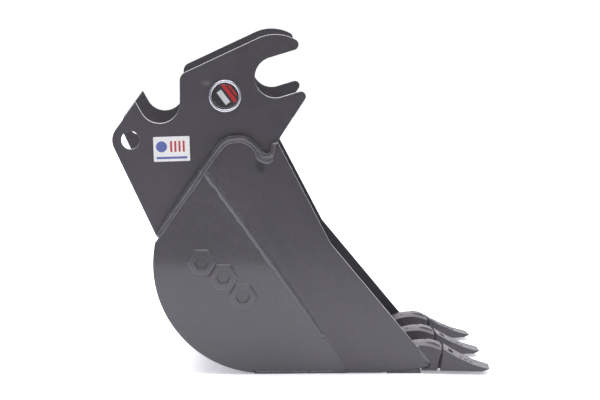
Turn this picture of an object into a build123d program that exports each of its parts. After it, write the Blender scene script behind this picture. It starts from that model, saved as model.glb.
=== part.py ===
"""Narrow trenching bucket for a mini excavator, with open-hook ears for a quick coupler.

Axes: +X forward (towards the teeth), +Z up, the bucket standing on its lip and wear strips at Z = 0.
The origin is the centre of the footprint of the whole bucket. All sizes are in millimetres.
"""
import os
from math import asin, atan2, cos, degrees, hypot, radians, sin, sqrt, tan

from build123d import *

# ---------------------------------------------------------------- driving dimensions
BUCKET_WIDTH = 305.0          # 12 inch bucket, outside to outside of the side plates
SIDE_THICKNESS = 10.0
EAR_THICKNESS = 12.0
WRAPPER_THICKNESS = 8.0
TOP_PLATE_THICKNESS = 12.0
LIP_THICKNESS = 16.0
WEAR_STRIP_THICKNESS = 8.0

HEEL_CENTRE = (-81.0, 234.0)  # X, Z of the centre of the round back
SIDE_HEEL_RADIUS = 232.0      # rear edge of the side plates
WRAPPER_RADIUS = 226.0        # outside of the wrapper, set in from the side plates
WRAPPER_END_ANGLE = 166.0     # where the full-width wrapper stops, just under the ears

TOP_BEND_ANGLE = 145.4        # the upper back plate runs straight above this point
TOP_BEND_RUN = 130.0
TOP_PLATE_DROP = 2.0          # top plate's upper face below the end of the upper back plate
TOP_PLATE_SLANT = 35.4        # degrees its rear edge leans from upright

HOOK_CENTRE = (-61.5, 620.0)  # coupler front pin
HOOK_RADIUS = 42.0
HOOK_AXIS_ANGLE = 17.0        # the slot opens forward and up
JAW_RADIUS = 87.0
UPPER_TIP_RADIUS = 11.5
LOWER_JAW_REACH = 38.5        # along the slot axis, to the centre of the rounded tip
LOWER_TIP_RADIUS = 10.3
EAR_TOP_ANGLE = 25.2
EAR_FRONT_ANGLE = 57.4
EAR_SHOULDER_FILLET = 18.0

SADDLE_CENTRE = (-297.5, 567.0)  # coupler rear pin
SADDLE_RADIUS = 41.5
SADDLE_PEAK = (-346.0, 569.0)
LOCK_HOLE_CENTRE = (-357.0, 491.0)
LOCK_HOLE_RADIUS = 19.0
REAR_CORNER_RADIUS = 37.0
EAR_HEEL = (-305.0, 290.0)
EAR_FRONT_FOOT = 482.0           # height where the ear's slanting front edge ends
EAR_LAP_FRONT = (-61.0, 447.0)   # lower edge of the ears, hidden inside the side plates
EAR_LAP_REAR = (-285.0, 290.5)

MOUTH_TOP = (-56.0, 487.0)    # top of the mouth, on the front edge of the side plates
MOUTH_KNEE = (54.3, 277.0)
MOUTH_NOSE = (273.5, 13.5)
MOUTH_NOSE_FILLET = 9.0
CUTTER_RISE = (160.0, 1.6)    # the lower edge of the side cutters climbs to the nose from here
BORDER_REAR_ANGLE = 168.5     # top of the round rear edge, about the heel's centre
BORDER_FOOT = (-297.0, 296.0)
HUMP_CENTRE = (-139.0, 446.0)
HUMP_RADIUS = 44.0
VALLEY_RADIUS = 20.0
VALLEY_ANGLE = 23.2           # direction from the hump's centre to the valley's centre
SEAM_TOP = (-205.0, 428.0)
SEAM_FOOT = (91.0, 2.0)
SEAM_WELD_FOOT = (40.0, 78.0)
SEAM_RISE = 55.2              # degrees above level of the seam's line, carried on past its top

LIP_REAR = 91.0
LIP_FRONT = 246.0
LIP_EDGE = 7.0                # thickness left at the lip's bevelled front
LIP_BEVEL = 16.0
LIP_CORNER_REAR = 175.0       # ahead of this the lip reaches out under the side cutters
STRIP_REAR = -107.0
STRIP_WIDTH = 60.0
STRIP_INSET = 3.0
STRIP_BEVEL = (5.0, 4.0)

TOOTH_SPACING = 131.0
TOOTH_PIVOT = 270.0           # the corner teeth turn outward about this X
TOOTH_SPLAY = 7.0
TOOTH_TIP = 392.5
TOOTH_TIP_CORNER = 6.0
TOOTH_TOP = (
    (295.5, 53.6), (309.5, 45.0), (323.0, 37.6), (340.0, 29.8), (358.0, 22.0), (375.0, 16.5), (TOOTH_TIP, 12.6))
TOOTH_UNDERSIDE = ((392.0, 10.4), (382.0, 9.0), (379.0, 6.5), (289.0, 6.5))
TOOTH_TAPER_START = 305.0
ADAPTER_REAR = 182.0
ADAPTER_STEP = 250.0          # hooks over the front of the lip
ADAPTER_FOOT = 6.5
ADAPTER_TOP = (
    (ADAPTER_REAR, 30.0), (203.0, 49.5), (226.0, 60.8), (248.0, 65.0), (266.0, 63.3), (281.0, 59.0), (291.5, 55.0))
ADAPTER_FRONT_FOOT = 283.0
ADAPTER_PLAN = ((180.0, 17.0), (232.0, 25.0), (250.0, 26.0), (300.0, 26.0))
PAD_OUTLINE = ((257.0, 56.0), (259.0, 65.8), (266.0, 66.4), (277.0, 63.9), (288.0, 59.2), (289.5, 50.0))
PAD_HALF_WIDTH = 13.0
NOSE_ROOT = (278.0, 8.5, 50.0)   # X, lowest and highest Z
NOSE_END = (325.0, 14.0, 26.0)
NOSE_HALF_WIDTHS = (18.5, 14.0)
SOCKET_CLEARANCE = 0.5
TOOTH_HALF_WIDTH = 26.0
TIP_HALF_WIDTH = 23.5
PIN_X = 311.0
PIN_SLOT = (10.0, 17.0)
PIN_CLEARANCE = 0.3
PIN_BOTTOM = 8.0
PIN_TOP = 35.0
PIN_CORE = 3.0
PIN_CORNER = 1.8

BADGE_CENTRE = (-164.0, 582.0)
BADGE_RADIUS = 33.0
BADGE_FACE_RADIUS = 28.0
BADGE_HEIGHT = 3.5
BADGE_FACE_HEIGHT = 2.0
LABEL_CENTRE = (-273.0, 473.5)
LABEL_SIZE = (74.0, 51.0)
LABEL_TILT = 1.8
LABEL_THICKNESS = 0.5
LABEL_CORNER = 2.0
MARK_HEIGHT = 3.0
MARK_CENTRES = ((-213.0, 239.0), (-168.0, 208.0), (-128.0, 167.0))
MARK_RADIUS = 28.0
MARK_STROKE = 14.0
BEAD_LEG = 9.0
BEAD_HEIGHT = 7.0
SEAM_BEAD_WIDTH = 9.0
SEAM_BEAD_START = 10.0
SEAM_BEAD_HEIGHT = 3.0

# ---------------------------------------------------------------- values that follow
SIDE_OUTER = BUCKET_WIDTH / 2
SIDE_INNER = SIDE_OUTER - SIDE_THICKNESS
EAR_INNER = SIDE_INNER - EAR_THICKNESS
UPPER_JAW_REACH = sqrt((JAW_RADIUS - UPPER_TIP_RADIUS) ** 2 - (HOOK_RADIUS + UPPER_TIP_RADIUS) ** 2)
FAR = 500.0                   # further than any part of the bucket


# ---------------------------------------------------------------- helpers
def polar(centre, radius, angle):
    """Point at a radius and an angle in degrees from a centre."""
    return (centre[0] + radius * cos(radians(angle)), centre[1] + radius * sin(radians(angle)))


def tangent_angle(point, centre, radius, side):
    """Angle on a circle where a line from an outside point touches it; side is +1 or -1."""
    away = hypot(point[0] - centre[0], point[1] - centre[1])
    bearing = degrees(atan2(point[1] - centre[1], point[0] - centre[0]))
    return bearing + side * (90.0 - degrees(asin(radius / away)))


def arc(centre, radius, start, end):
    """Arc about a centre, from one angle to another, either way round."""
    points = [polar(centre, radius, angle) for angle in (start, (start + end) / 2, end)]
    return ThreePointArc(*points)


def between(outline, y_low, y_high):
    """Solid from an X-Z outline, between two Y values."""
    plane = Plane(origin=(0, y_high, 0), x_dir=(1, 0, 0), z_dir=(0, -1, 0))
    return extrude(plane * outline, amount=y_high - y_low)


def standing(outline, z_low, z_high):
    """Solid from an X-Y outline, between two heights."""
    return extrude(Pos(0, 0, z_low) * outline, amount=z_high - z_low)


def corner_fillet(outline, corner, radius):
    """Round the one corner of an outline that is nearest to a point."""
    nearest = min(outline.vertices(), key=lambda v: hypot(v.X - corner[0], v.Y - corner[1]))
    return fillet(nearest, radius)


def to_left(solid):
    """The matching piece on the other side of the centre plane."""
    return mirror(solid, about=Plane.XZ)


def mirrored(outline):
    """Points on one side of the X axis, and the same points on the other side, as a closed ring."""
    return list(outline) + [(x, -y) for x, y in reversed(outline)]


# ---------------------------------------------------------------- outlines in the X-Z plane
def lower_jaw_tip():
    """Centre of the rounded end of the lower jaw, where the ear's front edge starts."""
    tip = polar(HOOK_CENTRE, LOWER_JAW_REACH, HOOK_AXIS_ANGLE)
    return polar(tip, -HOOK_RADIUS - LOWER_TIP_RADIUS, HOOK_AXIS_ANGLE + 90)


def ear_outline():
    rear_low = tangent_angle(EAR_HEEL, LOCK_HOLE_CENTRE, REAR_CORNER_RADIUS, -1)
    rear_high = tangent_angle(SADDLE_PEAK, LOCK_HOLE_CENTRE, REAR_CORNER_RADIUS, 1)
    saddle_start = tangent_angle(SADDLE_PEAK, SADDLE_CENTRE, SADDLE_RADIUS, 1)
    top_start = polar(HOOK_CENTRE, JAW_RADIUS, EAR_TOP_ANGLE + 90)
    wall_x = SADDLE_CENTRE[0] + SADDLE_RADIUS
    shoulder = (wall_x, top_start[1] - (top_start[0] - wall_x) * tan(radians(EAR_TOP_ANGLE)))

    along = HOOK_AXIS_ANGLE
    across = HOOK_AXIS_ANGLE + 90
    upper_tip = polar(HOOK_CENTRE, UPPER_JAW_REACH, along)
    upper_tip = polar(upper_tip, HOOK_RADIUS + UPPER_TIP_RADIUS, across)
    upper_angle = degrees(atan2(upper_tip[1] - HOOK_CENTRE[1], upper_tip[0] - HOOK_CENTRE[0]))
    lower_tip = lower_jaw_tip()
    front_angle = EAR_FRONT_ANGLE - 90
    front_top = polar(lower_tip, LOWER_TIP_RADIUS, front_angle)
    front_run = (front_top[1] - EAR_FRONT_FOOT) / sin(radians(EAR_FRONT_ANGLE))
    front_low = polar(front_top, -front_run, EAR_FRONT_ANGLE)

    edges = [
        Line(EAR_HEEL, polar(LOCK_HOLE_CENTRE, REAR_CORNER_RADIUS, rear_low)),
        arc(LOCK_HOLE_CENTRE, REAR_CORNER_RADIUS, rear_low, rear_high - 360),
        Line(polar(LOCK_HOLE_CENTRE, REAR_CORNER_RADIUS, rear_high), SADDLE_PEAK),
        Line(SADDLE_PEAK, polar(SADDLE_CENTRE, SADDLE_RADIUS, saddle_start)),
        arc(SADDLE_CENTRE, SADDLE_RADIUS, saddle_start, 360),
        Line((wall_x, SADDLE_CENTRE[1]), shoulder),
        Line(shoulder, top_start),
        arc(HOOK_CENTRE, JAW_RADIUS, EAR_TOP_ANGLE + 90, upper_angle),
        arc(upper_tip, UPPER_TIP_RADIUS, upper_angle, along - 90),
        Line(polar(upper_tip, UPPER_TIP_RADIUS, along - 90), polar(HOOK_CENTRE, HOOK_RADIUS, across)),
        arc(HOOK_CENTRE, HOOK_RADIUS, across, across + 180),
        Line(polar(HOOK_CENTRE, HOOK_RADIUS, across + 180), polar(lower_tip, LOWER_TIP_RADIUS, across)),
        arc(lower_tip, LOWER_TIP_RADIUS, across, front_angle),
        Polyline(front_top, front_low, EAR_LAP_FRONT, EAR_LAP_REAR, EAR_HEEL),
    ]
    outline = corner_fillet(make_face(edges), shoulder, EAR_SHOULDER_FILLET)
    return outline - Pos(*LOCK_HOLE_CENTRE) * Circle(LOCK_HOLE_RADIUS)


def border_path():
    """Upper edge of the side plates, where they lap over the ears, from the mouth to the rear."""
    valley_centre = polar(HUMP_CENTRE, HUMP_RADIUS + VALLEY_RADIUS, VALLEY_ANGLE)
    hump_end = tangent_angle(BORDER_FOOT, HUMP_CENTRE, HUMP_RADIUS, -1) % 360
    valley_end = polar(valley_centre, VALLEY_RADIUS, -10)
    return [
        Line(MOUTH_TOP, valley_end),
        arc(valley_centre, VALLEY_RADIUS, -10, VALLEY_ANGLE - 180),
        arc(HUMP_CENTRE, HUMP_RADIUS, VALLEY_ANGLE, hump_end),
        Line(polar(HUMP_CENTRE, HUMP_RADIUS, hump_end), BORDER_FOOT),
    ]


def side_outline():
    strip_angle = 270 - degrees(asin((HEEL_CENTRE[0] - STRIP_REAR) / SIDE_HEEL_RADIUS))
    edges = border_path() + [
        Line(BORDER_FOOT, polar(HEEL_CENTRE, SIDE_HEEL_RADIUS, BORDER_REAR_ANGLE)),
        arc(HEEL_CENTRE, SIDE_HEEL_RADIUS, BORDER_REAR_ANGLE, strip_angle),
        Polyline(
            polar(HEEL_CENTRE, SIDE_HEEL_RADIUS, strip_angle),
            (STRIP_REAR, WEAR_STRIP_THICKNESS),
            (LIP_REAR, WEAR_STRIP_THICKNESS),
            (LIP_REAR, CUTTER_RISE[1]),
            CUTTER_RISE,
            MOUTH_NOSE,
            MOUTH_KNEE,
            MOUTH_TOP,
        ),
    ]
    return corner_fillet(make_face(edges), MOUTH_NOSE, MOUTH_NOSE_FILLET)


def seam_region():
    """Everything behind and below the diagonal seam of the side plates."""
    above = polar(SEAM_TOP, FAR, 180 - SEAM_RISE)
    return make_face(Polyline(above, SEAM_TOP, SEAM_FOOT, (SEAM_FOOT[0], -FAR), (-FAR, -FAR), close=True))


# ---------------------------------------------------------------- bucket shell
def side_pieces():
    outline = side_outline()
    rear = seam_region()
    side_plate = between(outline & rear, -SIDE_OUTER, -SIDE_INNER)
    side_cutter = between(outline - rear, -SIDE_OUTER, -SIDE_INNER)
    return side_plate, side_cutter


def curved_band(start, end):
    """Slice of the round back, between two angles about its centre."""
    inner = WRAPPER_RADIUS - WRAPPER_THICKNESS
    return make_face([
        arc(HEEL_CENTRE, WRAPPER_RADIUS, start, end),
        Line(polar(HEEL_CENTRE, WRAPPER_RADIUS, end), polar(HEEL_CENTRE, inner, end)),
        arc(HEEL_CENTRE, inner, end, start),
        Line(polar(HEEL_CENTRE, inner, start), polar(HEEL_CENTRE, WRAPPER_RADIUS, start)),
    ])


def back_wrapper():
    low = HEEL_CENTRE[1] - WRAPPER_RADIUS
    high = low + WRAPPER_THICKNESS
    floor_run = make_face(Polyline(
        (HEEL_CENTRE[0], low), (LIP_REAR, low), (LIP_REAR, high), (HEEL_CENTRE[0], high), close=True))
    return between(curved_band(WRAPPER_END_ANGLE, 270) + floor_run, -SIDE_INNER, SIDE_INNER)


def upper_back_plate():
    bend = polar(HEEL_CENTRE, WRAPPER_RADIUS, TOP_BEND_ANGLE)
    bend_inner = polar(HEEL_CENTRE, WRAPPER_RADIUS - WRAPPER_THICKNESS, TOP_BEND_ANGLE)
    straight = make_face(Polyline(
        bend, polar(bend, TOP_BEND_RUN, TOP_BEND_ANGLE - 90),
        polar(bend_inner, TOP_BEND_RUN, TOP_BEND_ANGLE - 90), bend_inner, close=True))
    return between(curved_band(TOP_BEND_ANGLE, WRAPPER_END_ANGLE) + straight, -EAR_INNER, EAR_INNER)


def top_plate():
    """Closes the bucket between the ears, from the upper back plate to the mouth."""
    bend = polar(HEEL_CENTRE, WRAPPER_RADIUS - WRAPPER_THICKNESS, TOP_BEND_ANGLE)
    rear = polar(bend, TOP_BEND_RUN, TOP_BEND_ANGLE - 90)
    high = rear[1] - TOP_PLATE_DROP
    low = high - TOP_PLATE_THICKNESS
    rear_low = rear[0] - WRAPPER_THICKNESS
    rear_high = rear_low + TOP_PLATE_THICKNESS * tan(radians(TOP_PLATE_SLANT))
    outline = make_face(Polyline(
        (rear_low, low), (EAR_LAP_FRONT[0], low), (EAR_LAP_FRONT[0], high), (rear_high, high), close=True))
    return between(outline, -EAR_INNER, EAR_INNER) - upper_back_plate()


def cutting_lip():
    """Bevelled plate between the side plates, its front corners reaching out under them."""
    outline = make_face(Polyline(
        (LIP_REAR, 0), (LIP_FRONT, 0), (LIP_FRONT, LIP_EDGE),
        (LIP_FRONT - LIP_BEVEL, LIP_THICKNESS), (LIP_REAR, LIP_THICKNESS), close=True))
    under = outline - side_outline() - Pos(LIP_CORNER_REAR - FAR / 2, 0) * Rectangle(FAR, FAR)
    return between(outline, -SIDE_INNER, SIDE_INNER) + between(under, -SIDE_OUTER, SIDE_OUTER)


def wear_strip(y_centre):
    outline = make_face(Polyline(
        (STRIP_REAR + STRIP_BEVEL[0], 0), (LIP_REAR, 0), (LIP_REAR, WEAR_STRIP_THICKNESS),
        (STRIP_REAR, WEAR_STRIP_THICKNESS), (STRIP_REAR, STRIP_BEVEL[1]), close=True))
    return between(outline, y_centre - STRIP_WIDTH / 2, y_centre + STRIP_WIDTH / 2)


# ---------------------------------------------------------------- teeth
def plan_prism(outline):
    """Tall solid over the plan outline of a tooth or adapter, given for one side of the X axis."""
    return standing(make_face(Polyline(*mirrored(outline), close=True)), 0, FAR)


def adapter():
    """Weld-on nose for one tooth, along the X axis."""
    side = make_face([
        Spline(*ADAPTER_TOP),
        Polyline(ADAPTER_TOP[-1], (ADAPTER_FRONT_FOOT, ADAPTER_FOOT), (ADAPTER_STEP, ADAPTER_FOOT),
                 (ADAPTER_STEP, LIP_THICKNESS), (ADAPTER_REAR, LIP_THICKNESS), ADAPTER_TOP[0]),
    ])
    body = between(side, -TOOTH_HALF_WIDTH, TOOTH_HALF_WIDTH) & plan_prism(ADAPTER_PLAN)
    pad = between(make_face(Polyline(*PAD_OUTLINE, close=True)), -PAD_HALF_WIDTH, PAD_HALF_WIDTH)
    return body + pad + nose(0)


def nose(clearance):
    """Tapered nose of the adapter, or with a clearance the socket of the tooth."""
    root_x, root_low, root_high = NOSE_ROOT
    end_x, end_low, end_high = NOSE_END
    side = make_face(Polyline(
        (root_x, root_low - clearance), (root_x, root_high + clearance),
        (end_x + clearance, end_high + clearance), (end_x + clearance, end_low - clearance), close=True))
    solid = between(side, -TOOTH_HALF_WIDTH, TOOTH_HALF_WIDTH)
    root_half, end_half = NOSE_HALF_WIDTHS
    return solid & plan_prism([(root_x, root_half + clearance), (end_x + clearance, end_half + clearance)])


def tooth():
    """Chisel tooth, hollow at the back for the adapter's nose."""
    side = make_face([Spline(*TOOTH_TOP), Polyline(TOOTH_TOP[-1], *TOOTH_UNDERSIDE, TOOTH_TOP[0])])
    corner = TOOTH_TIP - TOOTH_TIP_CORNER
    plan = [(TOOTH_UNDERSIDE[-1][0], TOOTH_HALF_WIDTH), (TOOTH_TAPER_START, TOOTH_HALF_WIDTH),
            (corner, TIP_HALF_WIDTH), (TOOTH_TIP, TIP_HALF_WIDTH - TOOTH_TIP_CORNER)]
    return (between(side, -TOOTH_HALF_WIDTH, TOOTH_HALF_WIDTH) & plan_prism(plan)) - nose(SOCKET_CLEARANCE)


def pin_slot():
    outline = Pos(PIN_X, 0) * RectangleRounded(PIN_SLOT[0], PIN_SLOT[1], PIN_CORNER + PIN_CLEARANCE)
    return standing(outline, -FAR, FAR)


def pin_pieces():
    """Two steel halves with a rubber core between them, which springs them against the slot."""
    length = PIN_SLOT[0] - 2 * PIN_CLEARANCE
    width = PIN_SLOT[1] - 2 * PIN_CLEARANCE
    blank = standing(Pos(PIN_X, 0) * RectangleRounded(length, width, PIN_CORNER), PIN_BOTTOM, PIN_TOP)
    half = (length - PIN_CORE) / 2
    height = PIN_TOP - PIN_BOTTOM
    middle = (PIN_TOP + PIN_BOTTOM) / 2
    core = blank & (Pos(PIN_X, 0, middle) * Box(PIN_CORE, width, height))
    front = blank & (Pos(PIN_X + (PIN_CORE + half) / 2, 0, middle) * Box(half, width, height))
    rear = blank & (Pos(PIN_X - (PIN_CORE + half) / 2, 0, middle) * Box(half, width, height))
    return {"pin_front_half": front, "pin_rear_half": rear, "pin_rubber_core": core}


def tooth_place(side):
    """Where the tooth set of one side goes: side is -1 right, 0 middle, +1 left."""
    turn = Pos(TOOTH_PIVOT, side * TOOTH_SPACING, 0) * Rot(0, 0, side * TOOTH_SPLAY)
    return turn * Pos(-TOOTH_PIVOT, 0, 0)


def beside_cutter(side):
    """The room a side cutter takes from a corner adapter: its outline, and all that lies outboard of it."""
    room = between(side_outline(), -FAR, -SIDE_INNER)
    return room if side < 0 else to_left(room)


# ---------------------------------------------------------------- trim and weld beads
def badge_bezel():
    ring = Circle(BADGE_RADIUS) - Circle(BADGE_FACE_RADIUS)
    return between(Pos(*BADGE_CENTRE) * ring, -SIDE_INNER - BADGE_HEIGHT, -SIDE_INNER)


def badge_face():
    face = Pos(*BADGE_CENTRE) * Circle(BADGE_FACE_RADIUS)
    return between(face, -SIDE_INNER - BADGE_FACE_HEIGHT, -SIDE_INNER)


def label():
    outline = Pos(*LABEL_CENTRE) * Rot(0, 0, LABEL_TILT) * RectangleRounded(*LABEL_SIZE, LABEL_CORNER)
    return between(outline, -SIDE_INNER - LABEL_THICKNESS, -SIDE_INNER)


def relief_mark(centre):
    ring = RegularPolygon(MARK_RADIUS, 6) - RegularPolygon(MARK_RADIUS - MARK_STROKE, 6)
    return between(Pos(*centre) * ring, -SIDE_OUTER - MARK_HEIGHT, -SIDE_OUTER)


def ear_weld():
    """Fillet bead on the ear, along the upper edge of the side plates."""
    run = (trace(border_path(), 2 * BEAD_LEG) - side_outline()) & ear_outline()
    return between(run, -SIDE_INNER - BEAD_HEIGHT, -SIDE_INNER)


def seam_weld():
    """Low butt-weld bead over the upper part of the seam."""
    reach = (SEAM_WELD_FOOT[0] - SEAM_TOP[0], SEAM_WELD_FOOT[1] - SEAM_TOP[1])
    run = hypot(*reach)
    along_seam = Pos(*SEAM_TOP) * Rot(0, 0, degrees(atan2(reach[1], reach[0])))
    bead = along_seam * Pos(run / 2 + SEAM_BEAD_START, 0) * Rectangle(run, SEAM_BEAD_WIDTH)
    return between(bead, -SIDE_OUTER - SEAM_BEAD_HEIGHT, -SIDE_OUTER)


# ---------------------------------------------------------------- assembly
def all_pieces():
    side_plate, side_cutter = side_pieces()
    ear = between(ear_outline(), -SIDE_INNER, -EAR_INNER)
    paired = {
        "side_plate": side_plate,
        "side_cutter": side_cutter,
        "ear_plate": ear,
        "ear_weld": ear_weld(),
        "seam_weld": seam_weld(),
    }
    pieces = {}
    for name, solid in paired.items():
        pieces["right_" + name] = solid
        pieces["left_" + name] = to_left(solid)
    pieces["back_wrapper"] = back_wrapper()
    pieces["upper_back_plate"] = upper_back_plate()
    pieces["top_plate"] = top_plate()
    pieces["cutting_lip"] = cutting_lip()
    strip_side = SIDE_OUTER - STRIP_INSET - STRIP_WIDTH / 2
    for side, name in ((-1, "right"), (0, "middle"), (1, "left")):
        pieces[name + "_wear_strip"] = wear_strip(side * strip_side)
        place = tooth_place(side)
        casting = place * (adapter() - pin_slot())
        pieces[name + "_tooth_adapter"] = casting - beside_cutter(side) if side else casting
        pieces[name + "_tooth"] = place * (tooth() - pin_slot())
        for piece, solid in pin_pieces().items():
            pieces[name + "_" + piece] = place * solid
    pieces["badge_bezel"] = badge_bezel()
    pieces["badge_face"] = badge_face()
    pieces["label_plate"] = label()
    for number, centre in enumerate(MARK_CENTRES, start=1):
        pieces["relief_mark_" + str(number)] = relief_mark(centre)
    return pieces


os.makedirs("parts", exist_ok=True)
for node, solid in all_pieces().items():
    export_step(solid, os.path.join("parts", node + ".step"))
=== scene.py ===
import math

import bmesh
import bpy
from mathutils import Matrix, Vector, noise


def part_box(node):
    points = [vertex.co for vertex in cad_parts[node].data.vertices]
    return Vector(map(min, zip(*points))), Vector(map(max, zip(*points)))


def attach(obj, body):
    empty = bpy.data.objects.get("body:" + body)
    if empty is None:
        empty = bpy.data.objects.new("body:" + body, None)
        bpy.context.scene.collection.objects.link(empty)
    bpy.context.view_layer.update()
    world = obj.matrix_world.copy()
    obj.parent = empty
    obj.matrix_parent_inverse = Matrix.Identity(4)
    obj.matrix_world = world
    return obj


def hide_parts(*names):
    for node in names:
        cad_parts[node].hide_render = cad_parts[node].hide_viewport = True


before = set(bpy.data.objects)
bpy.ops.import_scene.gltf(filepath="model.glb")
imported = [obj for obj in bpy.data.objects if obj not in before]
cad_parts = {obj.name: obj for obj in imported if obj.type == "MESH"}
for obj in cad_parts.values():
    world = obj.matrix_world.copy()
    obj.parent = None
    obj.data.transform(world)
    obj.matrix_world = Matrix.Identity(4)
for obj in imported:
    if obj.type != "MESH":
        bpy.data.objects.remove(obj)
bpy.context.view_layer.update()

# ---------------------------------------------------------------- sizes, in millimetres and degrees
MM = 0.001

SIDE_OUTER = 152.5            # half widths of the bucket
SIDE_INNER = 142.5
EAR_INNER = 130.5
HEEL_CENTRE = (-81.0, 234.0)  # X, Z of the round back
WRAPPER_RADIUS = 226.0
WRAPPER_INNER_RADIUS = 218.0
WRAPPER_END_ANGLE = 166.0
TOP_BEND_ANGLE = 145.4
TOP_BEND_RUN = 130.0
FLOOR_TOP = 16.0
STRIP_THICKNESS = 8.0

MOUTH_TOP = (-56.0, 487.0)
MOUTH_KNEE = (54.3, 277.0)
MOUTH_NOSE = (273.5, 13.5)
BORDER_FOOT = (-297.0, 296.0)
HUMP_CENTRE = (-139.0, 446.0)
HUMP_RADIUS = 44.0
VALLEY_RADIUS = 20.0
VALLEY_ANGLE = 23.2
SEAM_TOP = (-205.0, 428.0)
SEAM_WELD_FOOT = (40.0, 78.0)
SEAM_FOOT = (88.0, 10.0)
SEAM_BOW = 3.0
EAR_LAP_FRONT = (-61.0, 447.0)
EAR_LAP_REAR = (-285.0, 290.5)
EAR_WELD_END = (-301.0, 289.0)
LIP_REAR = 91.0
LIP_FRONT = 246.0
STRIP_REAR = -107.0
STRIP_WIDTH = 60.0
STRIP_INSET = 3.0

TOOTH_SPACING = 131.0
TOOTH_PIVOT = 270.0
TOOTH_SPLAY = 7.0
ADAPTER_REAR = 182.0
ADAPTER_REAR_HALF = 17.0

BADGE_CENTRE = (-164.0, 582.0)
BADGE_RADIUS = 33.0
BADGE_FACE_RADIUS = 27.3
BADGE_HEIGHT = 3.5
LABEL_CENTRE = (-273.0, 473.5)
LABEL_TILT = 1.8

RIGHT = -1
LEFT = 1
SIDES = ((RIGHT, "right"), (LEFT, "left"))
THREE_SIDES = ((RIGHT, "right"), (0, "middle"), (LEFT, "left"))
MARKS = (1, 2, 3)
UP = Vector((0, 0, 1))


# ---------------------------------------------------------------- material helpers
def new_material(name, **constants):
    """A material with its Principled shader, whose plain values are set on its own sockets."""
    material = bpy.data.materials.new(name)
    material.use_nodes = True
    tree = material.node_tree
    shader = tree.nodes["Principled BSDF"]
    for socket, value in constants.items():
        shader.inputs[socket.replace("_", " ")].default_value = value
    return material, tree, shader


def add(tree, kind, inputs, **settings):
    """A node with its settings, its inputs given as values or as sockets to link."""
    made = tree.nodes.new(kind)
    for key, value in settings.items():
        setattr(made, key, value)
    for key, value in inputs.items():
        if isinstance(value, bpy.types.NodeSocket):
            tree.links.new(value, made.inputs[key])
        else:
            made.inputs[key].default_value = value
    return made


def finish_surface(tree, shader, tone, roughness, normal):
    """Links the three things that every surface here has."""
    for socket, value in (("Base Color", tone), ("Roughness", roughness), ("Normal", normal)):
        tree.links.new(value, shader.inputs[socket])


def place_of(tree):
    """Where a surface point is on its piece, in metres."""
    return add(tree, "ShaderNodeTexCoord", {}).outputs["Object"]


def noise_of(tree, place, scale, detail=3.0, rough=0.5):
    """Noise from 0 to 1, its scale in features per metre."""
    return add(tree, "ShaderNodeTexNoise", {
        "Vector": place, "Scale": scale, "Detail": detail, "Roughness": rough,
    }).outputs["Fac"]


def ramp(tree, value, low, high, start=0.0, end=1.0):
    """A value stretched from low..high to start..end, and held at both ends."""
    return add(tree, "ShaderNodeMapRange", {
        "Value": value, "From Min": low, "From Max": high, "To Min": start, "To Max": end,
    }, clamp=True).outputs["Result"]


def maths(tree, operation, *values):
    return add(tree, "ShaderNodeMath", dict(enumerate(values)), operation=operation).outputs[0]


def vector_maths(tree, operation, *values):
    made = add(tree, "ShaderNodeVectorMath", dict(enumerate(values)), operation=operation)
    return made.outputs["Value" if operation == "LENGTH" else "Vector"]


def split(tree, vector):
    """The X, Y and Z of a vector."""
    return add(tree, "ShaderNodeSeparateXYZ", {0: vector}).outputs


MIX_INPUTS = (0, 6, 7)         # the colour mix's factor and its two colours
MIX_OUTPUT = 2


def mix(tree, factor, first, second):
    inputs = dict(zip(MIX_INPUTS, (factor, first, second)))
    return add(tree, "ShaderNodeMix", inputs, data_type="RGBA").outputs[MIX_OUTPUT]


def grey(level, blue=0.0, red=0.0):
    """A grey with a little blue or red added."""
    return (level + red, level, level + blue, 1.0)


def bump(tree, height, distance, strength, below=None):
    """A bumped normal, its distance in metres, on top of the normal below it."""
    inputs = {"Height": height, "Distance": distance, "Strength": strength}
    if below is not None:
        inputs["Normal"] = below
    return add(tree, "ShaderNodeBump", inputs).outputs["Normal"]


SKIN_REACH = 8.0               # how deep a patch goes, less than a plate's thickness
PATCH_CORE = 0.4               # share of a patch's reach that has its full strength


def spot(tree, place, centre, reach):
    """1 in the middle of an oval patch on one face of an upright plate, and 0 outside it."""
    away = vector_maths(tree, "SUBTRACT", place, tuple(c * MM for c in centre))
    squeeze = (1 / reach[0] / MM, 1 / SKIN_REACH / MM, 1 / reach[1] / MM)
    length = vector_maths(tree, "LENGTH", vector_maths(tree, "MULTIPLY", away, squeeze))
    return ramp(tree, length, 1.0, PATCH_CORE)


def away_from(tree, place, centre):
    """A place measured from a centre in the X-Z plane."""
    return vector_maths(tree, "SUBTRACT", place, (centre[0] * MM, 0, centre[1] * MM))


# ---------------------------------------------------------------- materials
CLOUD_SCALE = 5.0
MOTTLE_SCALE = 60.0
SPECK_SCALE = 900.0
RUB_SCALE = 140.0
SCUFF_SCALE = 110.0
WAVE_SCALE = 28.0
PEEL_SCALE = 330.0
CAST_SCALE = 700.0
WAVE_STRENGTH = 0.12
RUBBED_EDGE = (0.53, 0.62)     # pointiness at which paint starts to rub, and is rubbed
# Pale grey that up-facing faces are mixed toward: partly dust, partly a painted sky reflection.
DUST_AND_SKY_SHEEN_TONE = grey(0.30, 0.0, 0.01)
RUBBED_TONE = grey(0.26, 0.01)
SCUFF_TONE = grey(0.22, 0.0, 0.01)
DARK_PATCH_TONE = grey(0.010)


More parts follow.
